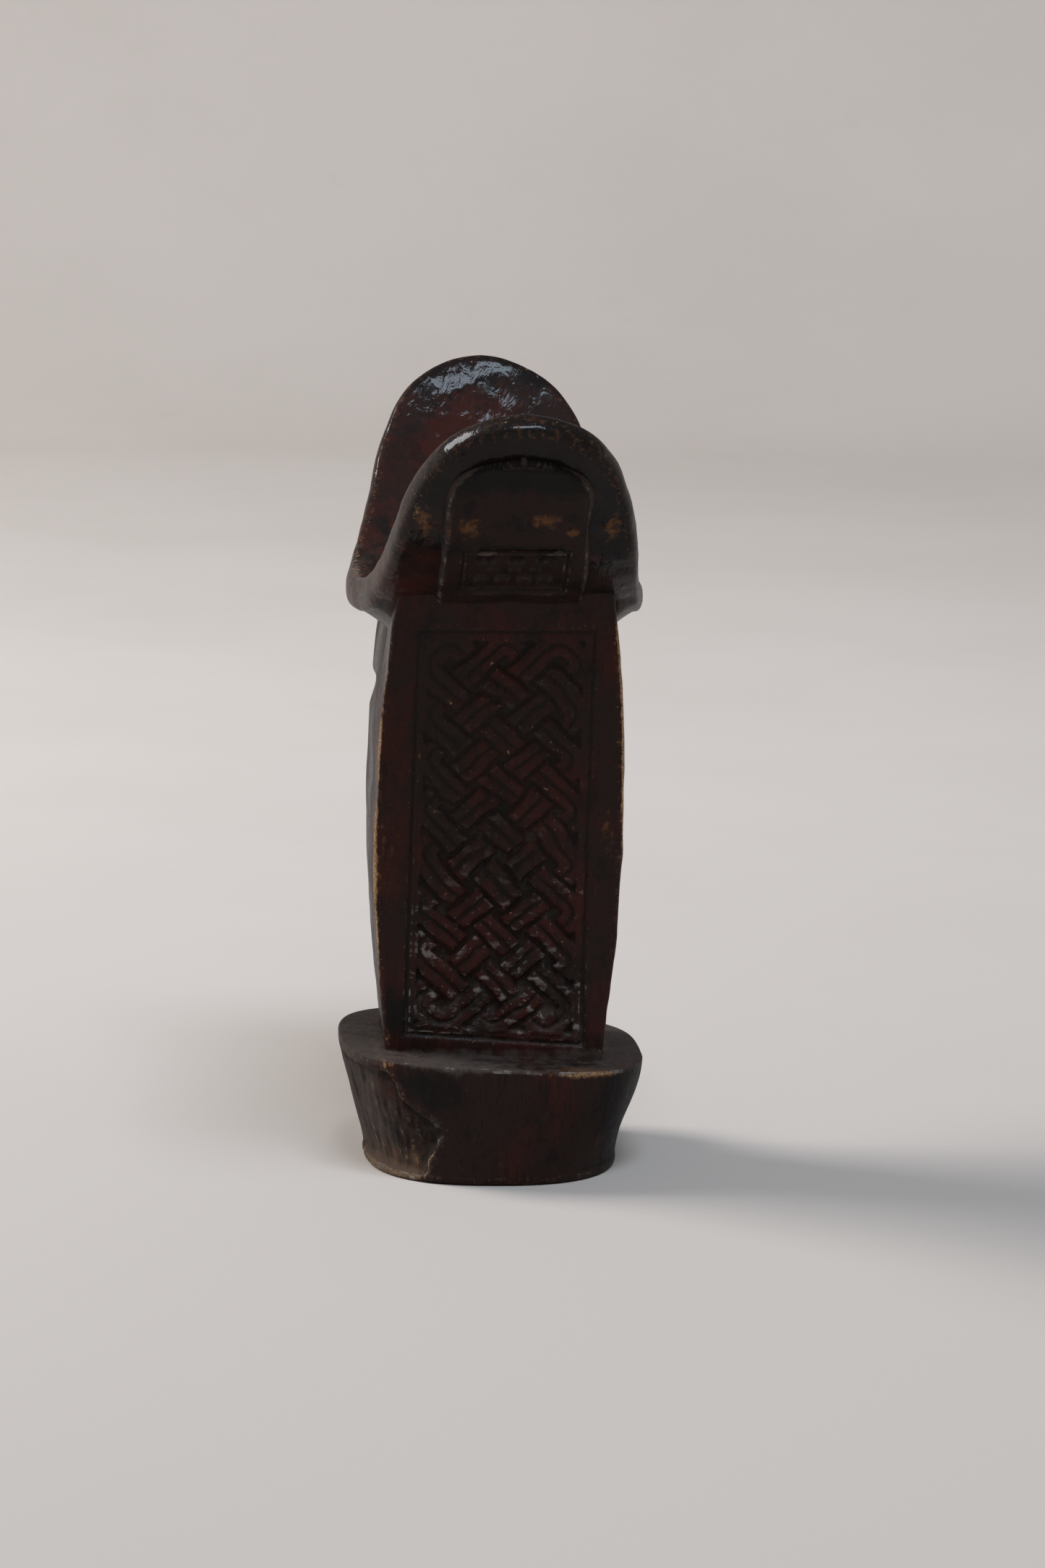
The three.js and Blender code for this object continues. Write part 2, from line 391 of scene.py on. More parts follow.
PLATE_MIDDLE, PLATE_RIM = 8.3, 7.0
SADDLE_HEIGHT = REST_LOW[2] + PLATE_MIDDLE
RIM_LEAN = 0.8                      # the rim's lower edge reaches out by this share of its depth
LOBE_REACH = REST_HIGH[1] - RIM_LEAN * PLATE_RIM
RIM_LOSS = 1.3                      # what rounding and tool marks take off the lobes' height
SADDLE_RISE = REST_HIGH[2] + RIM_LOSS - SADDLE_HEIGHT
SADDLE_POWER = 2.2
REST_HALF_WIDTH = 33.1
REST_END_SHARE = 0.42               # the outline's ends reach this share of its half-width
REST_TAPER_NEAR, REST_TAPER_FAR = 0.158, 0.150    # loss of half-width for each mm along the lobe
REST_TAPER_SOFT = 5                 # the taper starts softly over this length
LOBE_SQUARENESS = 10
RIM_ROUND = 2.4                     # how far the rim bulges out between its two faces
SIDE_THINNING = 2.3                 # how much thinner the plate is at its side edges
COVE_DEPTH, COVE_FADE, COVE_HALF = 3.2, 2.8, 24.0
COLUMN_END_HALF = 24.4              # half the column's width at its two ends
REST_WORN = (
    (1.0, (-19.5, -54, 152), (3.5, 14, 8)),     # left flank of the near lobe
    (0.95, (21.2, -56, 150), (3, 12, 7)),       # its right flank
    (0.9, (-30, 6, 137), (6, 24, 8)),           # left edge of the saddle
    (0.5, (24, -38, 130), (5, 9, 5)),           # right corner over the column
)


def saddle(y):
    """Height and slope of the surface that the neck lies on."""
    share = np.abs(y) / LOBE_REACH
    height = SADDLE_HEIGHT + SADDLE_RISE * share ** SADDLE_POWER
    slope = np.sign(y) * SADDLE_POWER * SADDLE_RISE / LOBE_REACH * share ** (SADDLE_POWER - 1)
    return height, slope


SADDLE_Y = np.linspace(-1.15 * LOBE_REACH, 1.15 * LOBE_REACH, 4001)
SADDLE_RUN = np.concatenate(
    [[0], np.cumsum(np.hypot(np.diff(SADDLE_Y), np.diff(saddle(SADDLE_Y)[0])))])
SADDLE_RUN -= SADDLE_RUN[-1] / 2


def plate_thickness(y):
    return mix(PLATE_MIDDLE, PLATE_RIM, (np.abs(y) / LOBE_REACH) ** 2)


def plate_half_width(y):
    rate = np.where(y < 0, REST_TAPER_NEAR, REST_TAPER_FAR)
    taper = REST_HALF_WIDTH - rate * (np.hypot(y, REST_TAPER_SOFT) - REST_TAPER_SOFT)
    return taper * np.sqrt(np.clip(1 - (np.abs(y) / LOBE_REACH) ** LOBE_SQUARENESS, 0, 1))


def lean(y):
    """Sideways wander of the neck rest's middle line.

    Both lobes stand a little to +X, and the saddle behind the middle bows out to -X.
    """
    near_lobe = 0.7 * ramp(-y, 5, 50)
    far_lobe = 0.3 * ramp(y, 35, 60)
    return 0.1 + near_lobe + far_lobe - 1.7 * hump(y, 21, 15)


def under_height(y):
    """Height of the plate's underside, straight below the upper surface at y."""
    height, slope = saddle(y)
    return height - plate_thickness(y) * np.hypot(1, slope)


def cove_depth(x, y):
    """Extra thickness under the plate, where the column's side walls run into it."""
    beside = np.maximum(np.abs(x - lean(y)) - COVE_HALF, 0)
    return COVE_DEPTH * np.exp(-beside / COVE_FADE) * ramp(np.abs(y), 29, 23)


def rest_body(points):
    """The hand-made unevenness that the neck rest and its tongues share."""
    return 0.8 * fractal(points, (34, 26, 34), 13) - 0.3 * scoops(points, (9, 10, 10), 15)


def on_plate(run, x, depth):
    """The place that lies depth under the upper surface, at run along the saddle."""
    y = np.interp(run, SADDLE_RUN, SADDLE_Y)
    height, slope = saddle(y)
    length = np.hypot(1, slope)
    return np.stack([x + lean(y), y + slope / length * depth, height - depth / length], axis=-1)


def plate_outline_quarter():
    """Points x, run from the tip at +Y round to the middle of the +X side."""
    y = LOBE_REACH * np.cos(np.linspace(0, math.pi / 2, 1200))
    return np.stack([plate_half_width(y), np.interp(y, SADDLE_Y, SADDLE_RUN)], axis=-1)


def make_neck_rest(across=84, along=270, rim_rows=13):
    """The crescent plate: its upper and lower face, and the rim that joins them."""
    quarter = plate_outline_quarter()
    corner = np.argmax(quarter[:, 0] > REST_END_SHARE * REST_HALF_WIDTH)
    end, side = quarter[:corner + 1], quarter[corner:]
    high = resample(np.concatenate([end[::-1] * (-1, 1), end[1:]]), across)
    right = resample(np.concatenate([side * (1, -1), side[::-1][1:]]), along)
    full = filled(high * (1, -1), high, right * (-1, 1), right)
    outline = border_of(full)
    out = outward(outline)
    inner = outline - RIM_ROUND * out
    area = filled(*ring_sides(inner, (along, across)))

    def thickness(plan):
        y = np.interp(plan[..., 1], SADDLE_RUN, SADDLE_Y)
        beside = ramp(np.abs(plan[..., 0]), COLUMN_END_HALF, REST_HALF_WIDTH)
        thin = SIDE_THINNING * beside * ramp(np.abs(y), 52, 30)
        return plate_thickness(y) - thin + cove_depth(plan[..., 0] + lean(y), y)

    upper = on_plate(area[..., 1], area[..., 0], 0.0)
    lower = on_plate(area[..., 1], area[..., 0], thickness(area))
    rows = []
    for angle in np.linspace(0, math.pi, rim_rows):
        reach = RIM_ROUND * math.sin(angle) ** 0.75
        place = inner + reach * out
        level = 0.5 - 0.5 * np.sign(math.cos(angle)) * abs(math.cos(angle)) ** 0.8
        rows.append(on_plate(place[:, 1], place[:, 0], level * thickness(inner)))
    rim = np.stack(rows)
    skin = Skin([upper, lower[:, ::-1], rim[::-1]])
    skin.push(rest_body(skin.points) + 0.12 * fractal(skin.points, 5, 17))
    skin.measure_relief()
    x, y, z = skin.points.T
    height = saddle(np.clip(y, -LOBE_REACH, LOBE_REACH))[0]
    inside = ramp(z, height - 5, height - 1.5) * ramp(np.abs(y), LOBE_REACH, LOBE_REACH - 4)
    outside = 1 - inside
    side = ramp(np.abs(x), 19, 26) * outside
    near_tip = ramp(z, 160, 172) * ramp(y, 0, -20)
    skin.masks["wear_and_highlight"] = np.clip(
        blobs(skin.points, REST_WORN) + 0.4 * side * ramp(z, 142, 130) + 0.25 * near_tip, 0, 1.4)
    skin.masks["dust_and_highlight"] = np.clip(0.4 * ramp(z, 142, 133) * side * ramp(-x, 10, 25), 0, 1)
    skin.masks["chalk_and_glint"] = 0.2 * ramp(z, 145, 133) * ramp(-x, 20, 28)
    tips = ramp(z, 163, 171) * ramp(y, 0, 30) + 0.8 * ramp(z, 160, 168) * ramp(y, 0, -30)
    # Painted shade: the underside and rim are darkened, more so high on the lobes and towards +X.
    under = 0.8 * ramp(z, 136, 146) + 0.7 * ramp(x, 14, 24) + 0.5 * ramp(z, 150, 158)
    skin.masks["dark"] = np.clip(
        tips + 0.55 * ramp(np.abs(x), 16, 25) * inside + under * outside, 0, 1.1)
    return skin.to_object("carved_neck_rest")


# ---- Interlace ---------------------------

PLAIT_CELLS = (3, 8)                # bights across and up the panel
BAND_SHARE = 0.3666                 # half the width of the strand, in diagonals of a half cell
OVER_LIFT = 0.17                    # how much higher the strand stands where it passes over
TRENCH = (1.35, 1.02)               # the cut beside the strand ends and starts here, in half bands
WANDER = ((0.85, 10.0), (0.30, 3.5))            # amount and size of the strand's slips, in mm
SAMPLES_PER_STEP = 12               # points along the strand in each half cell
SAME_RUN = 13                       # closer than this along the strand, two points don't cross


def plait_strand():
    """The one endless strand of the plait, in half cells, with its height and direction.

    It runs in diagonals, turns back at the borders, and goes over and under by turns.
    """
    wide, tall = 2 * PLAIT_CELLS[0], 2 * PLAIT_CELLS[1]
    x, y, dx, dy = 1, 0, 1, 1
    knots = []
    while True:
        knots.append((x, y))
        x, y = x + dx, y + dy
        if x in (0, wide):
            dx = -dx
        if y in (0, tall):
            dy = -dy
        if (x, y, dx, dy) == (1, 0, 1, 1):
            break
    knots = np.array(knots, float)
    steps = np.roll(knots, -1, axis=0) - knots
    rising = steps[:, 0] * steps[:, 1] > 0
    inside = ((knots > 0) & (knots < (wide, tall))).all(axis=1)
    over = np.where(knots[:, 0] % 2 == 0, 1.0, -1.0) * np.where(rising, 1.0, -1.0) * inside
    share = np.arange(SAMPLES_PER_STEP) / SAMPLES_PER_STEP
    following = np.roll(knots, -1, axis=0)
    path = mix(knots[:, None], following[:, None], share[None, :, None]).reshape(-1, 2)
    swing = (0.5 - 0.5 * np.cos(math.pi * share))[None]
    height = mix(over[:, None], np.roll(over, -1)[:, None], swing).ravel()
    window = int(0.62 * SAMPLES_PER_STEP)
    for _ in range(2):
        path = np.mean([np.roll(path, k, axis=0) for k in range(-window // 2, window // 2 + 1)],
                       axis=0)
    run = np.roll(path, -1, axis=0) - np.roll(path, 1, axis=0)
    return path, height, run[:, 0] * run[:, 1] > 0


def cord_profile(distance, half_band):
    """Height of a flat band with rounded sides and a groove along its middle, from 0 to 1."""
    share = np.clip(distance / half_band, 0, 1.3)
    wall = ramp(share, 1.08, 0.72)
    groove = 0.34 * ramp(share, 0.26, 0.05)
    crown = 0.16 * (share - 0.52) ** 2 * 4
    return wall * (1 - groove - crown)


def interlace(u, v, size, seed):
    """Relief of the plait at places u, v of a panel of that size: 0 is its ground, 1 its top."""
    cell = np.array(size) / (2 * np.array(PLAIT_CELLS))
    strand, height, rising = plait_strand()
    strand = strand * cell
    places = np.stack([u, v], axis=-1)
    wander = np.stack([places[:, 0], places[:, 1], np.zeros(len(u))], axis=-1)
    for amount, grain in WANDER:
        places = places + amount * np.stack(
            [noise(wander, grain, seed), noise(wander, grain, seed + 1)], axis=-1)
    half_band = BAND_SHARE * math.hypot(*cell)
    found = []
    for group in (rising, ~rising):
        members = np.flatnonzero(group)
        best = np.full(len(u), np.inf)
        which = np.zeros(len(u), int)
        for part in np.array_split(members, 12):
            gap = np.linalg.norm(places[:, None] - strand[None, part], axis=-1)
            near = gap.argmin(axis=1)
            value = gap[np.arange(len(u)), near]
            which = np.where(value < best, part[near], which)
            best = np.minimum(best, value)
        found.append((best, which))
    (gap_a, at_a), (gap_b, at_b) = found
    apart = np.abs(at_a - at_b)
    same = np.minimum(apart, len(strand) - apart) < SAME_RUN

    def band(gap, at):
        """Level of one run of the strand, how much it covers, and the cut beside it."""
        profile = cord_profile(gap, half_band)
        level = profile * (1 - OVER_LIFT + OVER_LIFT * height[at])
        trench = ramp(gap, half_band * TRENCH[0], half_band * TRENCH[1])
        return level, profile, trench

    def crossing(upper, lower):
        """Level where one run passes over another, which is cut away beside it."""
        level, cover, trench = upper
        below = lower[0]
        return np.where(cover > 0.02, np.maximum(level, below * (1 - trench)),
                        below * (1 - 0.8 * trench))

    a, b = band(gap_a, at_a), band(gap_b, at_b)
    nearer = np.where(gap_a < gap_b, a[0], b[0])
    crossed = np.where(height[at_a] > height[at_b], crossing(a, b), crossing(b, a))
    return np.where(same, nearer, crossed)


# ---- Column ------------------------------

BELLY_HALF, BELLY_HEIGHT = COLUMN_HIGH[0], 77.0
COLUMN_FOOT_Y, COLUMN_TOP_Y = 18.5, COLUMN_HIGH[1]
BURIED = 2.5                        # how far each end runs on inside its neighbour
FINE_HALF = 21.3                    # the finely divided part of the faces, to each side
SQUEEZED = 15                       # this much of the top bends to stay inside the neck rest
SQUEEZED_INTO = 4                   # and ends this far above the plate's underside
LINE_DEPTH, PANEL_DEPTH, PLAIT_RISE = 0.75, 1.55, 1.45
COLUMN_WORN = (
    (0.55, (-24, -18, 31), (1.4, 4, 4)),        # lower left corner
    (1.0, (-18, -26, 95), (0.6, 4, 1.6)),       # nick beside the panel
    (0.70, (-24, -22, 74), (3, 8, 18)),         # left margin
    (0.70, (24, -22, 78), (3, 9, 12)),          # right margin
    (0.4, (24, -33, 123), (4, 6, 5)),           # upper right corner
)
COLUMN_BLACK = (-22, -18, 36), (4, 9, 9)
PANEL = {"left": -19.5, "right": 19.65, "low": 30.1, "high": 123.9, "moulding": 1.9}


def column_half(z):
    rise = BELLY_HEIGHT - FOOT_HEIGHT
    return BELLY_HALF - (BELLY_HALF - COLUMN_END_HALF) * ((z - BELLY_HEIGHT) / rise) ** 2


def column_reach(z):
    """Distance of the front and back faces from the middle plane: they lean out upwards."""
    share = np.clip((z - FOOT_HEIGHT) / (COLUMN_HIGH[2] - FOOT_HEIGHT), 0, 1.1)
    return COLUMN_FOOT_Y + (COLUMN_TOP_Y - COLUMN_FOOT_Y) * share ** 2


def panel_relief(x, z, seed, worn):
    """Level of the carved face against the plain face: negative where it is cut in."""
    low = PANEL["low"] - 0.065 * x
    high = PANEL["high"]
    left = PANEL["left"] + 0.014 * (z - 77)
    right = PANEL["right"] + 0.004 * (z - 77)
    inset = np.minimum.reduce([x - left, right - x, z - low, high - z])
    moulding = PANEL["moulding"]
    line = -LINE_DEPTH * hump(inset, 0.1, 0.42)
    inner = inset - moulding
    floor = -PANEL_DEPTH * ramp(inner, -0.1, 0.7)
    width = (right - left) - 2 * moulding
    tall = (high - low) - 2 * moulding
    span = (PANEL["right"] - PANEL["left"] - 2 * moulding,
            PANEL["high"] - PANEL["low"] - 2 * moulding)
    u = (x - left - moulding) / width * span[0]
    v = (z - low - moulding) / tall * span[1]
    rise = np.zeros_like(x)
    near = inner > 0
    rise[near] = PLAIT_RISE * interlace(u[near], v[near], span, seed)
    moulded = 0.25 * ramp(inset, 0.4, 1.0) * ramp(inner, 0.3, -0.4)
    carved = line + floor + rise * ramp(inner, 0.0, 0.5) - moulded
    return carved * worn


def column_skin(fine=0.40):
    """Rings of points round the column, from its foot up: front, +X side, back, -X side."""
    panel_z = np.arange(PANEL["low"] - 3, PANEL["high"] + 1, fine)
    low_z = np.linspace(COLUMN_LOW[2] - BURIED, panel_z[0], 6)[:-1]
    high_z = np.linspace(panel_z[-1], COLUMN_HIGH[2] + BURIED, 8)[1:]
    heights = np.concatenate([low_z, panel_z, high_z])
    panel_x = np.arange(-FINE_HALF, FINE_HALF, fine)
    corner = 1.1
    turn = np.linspace(0, math.pi / 2, 5)
    rows = []
    for z in heights:
        half, reach = column_half(z), column_reach(z)
        right = np.linspace(panel_x[-1], half - corner, 9)[1:]
        left = -right[::-1]
        front_x = np.concatenate([left, panel_x, right])
        front = np.column_stack([front_x, np.full(len(front_x), -reach)])
        arc = corner * np.column_stack([np.sin(turn), -np.cos(turn)])
        low_arc = arc[1:] + (half - corner, -reach + corner)
        side_y = np.linspace(-reach + corner, reach - corner, 42)[1:-1]
        side = np.column_stack([np.full(len(side_y), half), side_y])
        high_arc = arc[::-1][:-1] * (1, -1) + (half - corner, reach - corner)
        half_ring = np.concatenate([front, low_arc, side, high_arc])
        ring = np.concatenate([half_ring, -half_ring, half_ring[:1]])
        rows.append(np.column_stack([ring, np.full(len(ring), z)]))
    wall = np.stack(rows)
    limit = np.minimum(COLUMN_HIGH[2] + BURIED, under_height(wall[..., 1]) + SQUEEZED_INTO)
    start = COLUMN_HIGH[2] - SQUEEZED
    above = np.maximum(wall[..., 2] - start, 0)
    share = above / (COLUMN_HIGH[2] + BURIED - start)
    wall[..., 2] += share * (limit - start) - above

    def cap(row):
        centre = row[:-1].mean(axis=0)
        return np.stack([row, np.broadcast_to(centre, row.shape)])

    return Skin([wall, cap(wall[0])[::-1], cap(wall[-1])])


def make_column():
    """The column, with a carved panel on its front and another on its back."""
    skin = column_skin()
    points = skin.points.copy()
    x, y, z = points.T
    flat = (np.abs(np.abs(y) - column_reach(z)) < 0.01) & (np.abs(x) < column_half(z) - 1.0)
    relief = np.zeros(len(x))
    for side, seed in ((-1, 101), (1, 211)):
        face = flat & (side * y > 0)
        worn = 0.55 + 0.45 * ramp(z, 116, 52) + 0.2 * noise(points, 13, seed)
        relief[face] = panel_relief(-side * x[face], z[face], seed, worn[face])
    face = flat.astype(float)
    body = 0.45 * fractal(points, (22, 20, 28), 104)
    blade = -0.22 * scoops(points, (8, 8, 15), 106) * (1 - 0.85 * face)
    waves = 0.5 * fractal(points * (1, 0.3, 1), (30, 30, 13), 108) * ramp(np.abs(x), 22, 25)
    notch = -1.1 * ramp(z, 99, 105) * ramp(z, 108.2, 107.4) * ramp(y, 2, 14) * ramp(x, -22, -24)
    skin.push(body + blade + waves + notch)
    skin.points[:, 1] -= relief * np.sign(-y)
    skin.measure_relief()

    points = skin.points
    x, y, z = points.T
    ends = np.maximum(ramp(z, 117, 125), ramp(z, 33, 29))
    skin.masks["broad"] = mix(skin.masks["broad"], 0.5, ends)
    skin.masks["fine"] = mix(skin.masks["fine"], 0.5, ramp(z, 127, 130))
    from_left, from_right = x + column_half(z), column_half(z) - x
    from_front = y + column_reach(z)
    left = ramp(from_left, 1.0, 0.1) * ramp(from_front, 1.7, 0.5)
    right = ramp(from_right, 1.1, 0.1) * ramp(from_front, 1.5, 0.4)
    left_wear = 1.15 * left * (1 + 0.5 * noise(points, (9, 9, 5), 109))
    right_wear = right * (0.5 + 0.8 * ramp(np.abs(z - 100), 30, 8))
    skin.masks["wear_and_highlight"] = np.clip(
        left_wear * ramp(z, 28, 45) * ramp(z, 122, 112) + right_wear
        + blobs(points, COLUMN_WORN), 0, 1.4)
    ground = face * ramp(relief, -0.5, -1.2) * ramp(relief, 0, -0.3)
    low_dust = 0.45 * face * ramp(relief, -0.1, -0.4) * ramp(z, 48, 30)
    skin.masks["dust_and_highlight"] = np.clip(0.8 * ramp(z, 29, 27) + 0.3 * ground + low_dust, 0, 1)
    # Painted highlights: pale strokes along the ridges of the plait's cords, strongest low on the
    # panel.
    skin.masks["chalk_and_glint"] = face * ramp(relief, 0.0, -0.25) * (0.12 + 0.88 * ramp(z, 82, 36))
    upper_panel = face * ramp(z, 88, 118) * ramp(np.abs(x), 21, 18)
    left_wall = ramp(from_left, 2.0, 0.8) * ramp(from_front, 1.5, 3.5)
    skin.masks["dark"] = np.clip(
        0.45 * ground + 0.4 * upper_panel + blob(points, *COLUMN_BLACK) + 0.8 * left_wall, 0, 1)
    return skin.to_object("carved_column")


# ---- Tongues -----------------------------

TONGUE_HALF = 15.3
TONGUE_TOP = 165.2
TONGUE_ARCH, ARCH_POWER = 9.5, 2.4  # height of the arch, and how square its shoulders are
TONGUE_START = 29.0                 # |y| on the plate where the tongue grows out of the column
LEDGE_HEIGHT = 145.3
LABEL = {"half": 11.2, "low": 134.4, "high": 144.3}
LABEL_DOTS = {
    "z": 142.0, "places": (-7.6, -5.4, -0.6, 0.9, 5.6, 7.9), "spread": 0.75, "depth": 0.9}
LABEL_BEADS = (                     # height of the row, places, half sizes and relief
    (137.2, (-6.8, -2.4, 2.3, 6.6), (1.75, 1.3), 0.75),
    (139.7, (-4.6, 0.0, 4.5), (1.2, 0.8), 0.45),
)
TONGUE_MARGIN = 2.4                 # how far the patch runs on outside the arch
TONGUE_SUNK, TONGUE_BACK = -1.4, -4.5           # levels outside the arch and at the back
LABEL_RISE, TONGUE_RISE = 1.2, 1.3  # relief below and above the ledge
TONGUE_WORN = (
    (0.95, (-10, -60, 149.5), (4.6, 12, 3.8)),
    (0.95, (6.2, -61, 151.2), (5.2, 12, 2.8)),
    (0.9, (12.5, -60, 148.5), (2.0, 12, 2)),
)


def label_relief(x, z):
    """The small carved label below the ledge: a border, punched dots and two rows of beads."""
    inset = np.minimum.reduce([LABEL["half"] - np.abs(x), z - LABEL["low"], LABEL["high"] - z])
    carved = -0.7 * hump(inset, 0, 0.4) - 0.6 * ramp(inset, 0.1, 1.2)
    for place in LABEL_DOTS["places"]:
        away = np.hypot(x - place, z - LABEL_DOTS["z"])
        carved -= LABEL_DOTS["depth"] * hump(away, 0, LABEL_DOTS["spread"])
    for row, places, (half_x, half_z), rise in LABEL_BEADS:
        for place in places:
            away = np.hypot((x - place) / half_x, (z - row) / half_z)
            carved += rise * ramp(away, 1.25, 0.6)
    slit = 2.6 * ramp(np.abs(x - 1), 9.8, 8.0) * hump(z, LEDGE_HEIGHT - 0.55, 0.42)
    return carved - slit


def half_at_height(half, top, z):
    """Half-width at height z of an arch that is 2 * half wide and ends at top."""
    share = np.clip((z - top + TONGUE_ARCH) / TONGUE_ARCH, 0, 1)
    return half * np.sqrt(1 - share ** ARCH_POWER)


def inside_arch(x, z):
    """Distance from the tongue's outline, positive inside it."""
    sideways = half_at_height(TONGUE_HALF, TONGUE_TOP, z) - np.abs(x)
    return np.minimum(sideways, 1.1 * (TONGUE_TOP - z))


def make_tongue(name, seed, turned, across=170, along=230):
    """A patch that stands out of the lobe's underside inside an arch, and is sunk outside it."""
    y = np.linspace(TONGUE_START, LOBE_REACH + 1, 400)
    height, slope = saddle(-y)
    length = np.hypot(1, slope)
    depth = plate_thickness(y)
    line = np.column_stack([-y + slope / length * depth, height - depth / length])
    out = np.column_stack([slope / length, -1 / length])
    keep = line[:, 1] < TONGUE_TOP + TONGUE_MARGIN - 0.2
    track = resample(np.column_stack([line, out])[keep], along)
    line, out = track[:, :2], track[:, 2:]
    height = line[:, 1]

    wide = half_at_height(TONGUE_HALF + TONGUE_MARGIN, TONGUE_TOP + TONGUE_MARGIN, height)
    reach = np.maximum(wide, 3)[:, None]
    x = np.linspace(-1, 1, across)[None] * reach
    z = np.broadcast_to(height[:, None], x.shape)
    wander = 0.5 * noise(np.dstack([x, z, 0 * x]), 9.0, seed + 9)
    inside = inside_arch(x, z) + wander
    upper = ramp(z + 0.25 * wander, LEDGE_HEIGHT - 0.25, LEDGE_HEIGHT + 0.35)
    stands = mix(LABEL_RISE, TONGUE_RISE, upper)
    ridge = 0.55 * hump(inside, 0.9, 0.85) - 0.3 * ramp(inside, 1.6, 6)
    offset = mix(TONGUE_SUNK, stands + ridge * upper, ramp(inside, -1.6, 0.35))
    offset = offset + (1 - upper) * ramp(inside, 0, 1.5) * label_relief(x, z)

    def layer(rise):
        rise = np.broadcast_to(rise, x.shape)[..., None] * out[:, None]
        return np.dstack([x, line[:, None] + rise])

    front, back = layer(offset), layer(TONGUE_BACK)
    front_ring, back_ring = border_of(front), border_of(back)
    wall = np.stack([mix(front_ring, back_ring, t) for t in np.linspace(0, 1, 4)])
    skin = Skin([front, back[:, ::-1], wall[::-1]])
    points = skin.points
    turn = np.array([-1, -1, 1]) if turned else np.ones(3)
    placed = (points + np.outer(lean(points[:, 1]), (1, 0, 0))) * turn
    own = 0.12 * fractal(points, (14, 14, 14), seed) + 0.06 * fractal(points, 3, seed + 4)
    skin.push(rest_body(placed) + own)
    x, y, z = skin.points.T
    # Painted highlight: a pale line along the crest of the arch, fed into the three masks below,
    # which turn it ochre, tan and pale grey.
    lit_crest = hump(inside_arch(x, z), 0.1, 0.8) * (0.35 + 0.65 * ramp(z, 150, 160))
    label = label_relief(x, z) * ramp(z, LEDGE_HEIGHT + 0.3, LEDGE_HEIGHT)
    skin.points[:, 0] += lean(y)
    skin.measure_relief()
    skin.masks["wear_and_highlight"] = np.clip(blobs(skin.points, TONGUE_WORN) + 0.65 * lit_crest, 0, 1.4)
    skin.masks["dust_and_highlight"] = np.clip(1.2 * lit_crest, 0, 1)
    skin.masks["chalk_and_glint"] = np.clip(1.2 * lit_crest + 0.3 * ramp(z, 145, 144), 0, 1)
    # Painted shade: the tongue's upper part, under the lobe's rim, is darkened, all but its
    # highlighted crest.
    arch = 0.6 * ramp(z, 156, 161) * (1 - lit_crest)
    skin.masks["dark"] = np.clip(0.4 + arch + 0.8 * ramp(label, -0.65, -1.1), 0, 1.2)
    skin.points *= turn
    return skin.to_object(name)


# ---- Materials ---------------------------

MASK_WEIGHT = 0.42                  # how strongly a mask counts against the noise that breaks it


class Surface:
    """Builds one material as a node tree that can be fed by the masks of a skin."""

    def __init__(self, name):
        self.material = bpy.data.materials.new(name)
        self.material.use_nodes = True
        self.tree = self.material.node_tree
        self.shader = self.tree.nodes["Principled BSDF"]
        self.place = self.add("ShaderNodeTexCoord").outputs["Object"]

    def add(self, kind, **settings):
        node = self.tree.nodes.new(kind)
        for key, value in settings.items():
            setattr(node, key, value)
        return node

    def feed(self, socket, value):
        if isinstance(value, bpy.types.NodeSocket):
            self.tree.links.new(value, socket)
        else:
            socket.default_value = value

    def mask(self, name):
        return self.add("ShaderNodeAttribute", attribute_name=name).outputs["Fac"]

    def noise(self, size_mm, stretch=(1, 1, 1), detail=3.0, roughness=0.55, distortion=0.0):
        """Noise with features about size_mm across; stretch makes them longer along an axis."""
        mapping = self.add("ShaderNodeMapping")
        mapping.inputs["Scale"].default_value = [1 / (k * size_mm * 0.001) for k in stretch]
        self.feed(mapping.inputs["Vector"], self.place)
        node = self.add("ShaderNodeTexNoise")
        self.feed(node.inputs["Vector"], mapping.outputs["Vector"])
        self.feed(node.inputs["Scale"], 1.0)
        self.feed(node.inputs["Detail"], detail)
        self.feed(node.inputs["Roughness"], roughness)
        self.feed(node.inputs["Distortion"], distortion)
        return node.outputs["Fac"]

    def ramp(self, value, low, high, out_low=0.0, out_high=1.0):
        node = self.add("ShaderNodeMapRange", interpolation_type="SMOOTHSTEP")
        for socket, given in zip(node.inputs[:5], (value, low, high, out_low, out_high)):
            self.feed(socket, given)
        return node.outputs["Result"]

    def math(self, operation, a, b):
        node = self.add("ShaderNodeMath", operation=operation)
        self.feed(node.inputs[0], a)
        self.feed(node.inputs[1], b)
        return node.outputs["Value"]

    def times(self, a, b):
        return self.math("MULTIPLY", a, b)

    def plus(self, a, b):
        return self.math("ADD", a, b)

    def mix(self, share, a, b):
        node = self.add("ShaderNodeMix", data_type="RGBA")
        self.feed(node.inputs["Factor"], share)
        self.feed(node.inputs["A"], a)
        self.feed(node.inputs["B"], b)
        return node.outputs["Result"]

    def broken(self, mask, pattern, low, high):
        """A mask that a pattern of noise breaks up into flecks, more thinly where it is weak."""
        return self.ramp(self.plus(self.times(mask, MASK_WEIGHT), pattern), low, high)

    def bump(self, height, strength, distance):
        node = self.add("ShaderNodeBump")
        self.feed(node.inputs["Strength"], strength)
        self.feed(node.inputs["Distance"], distance)
        self.feed(node.inputs["Height"], height)
        return node.outputs["Normal"]


BLACK = (0.0048, 0.0040, 0.0037, 1)
OLIVE = (0.0092, 0.0076, 0.0055, 1)
BROWN = (0.0170, 0.0080, 0.0062, 1)
RED = (0.0340, 0.0085, 0.0060, 1)
OCHRE = (0.150, 0.062, 0.022, 1)
TAN = (0.40, 0.25, 0.13, 1)
DUST = (0.105, 0.088, 0.075, 1)
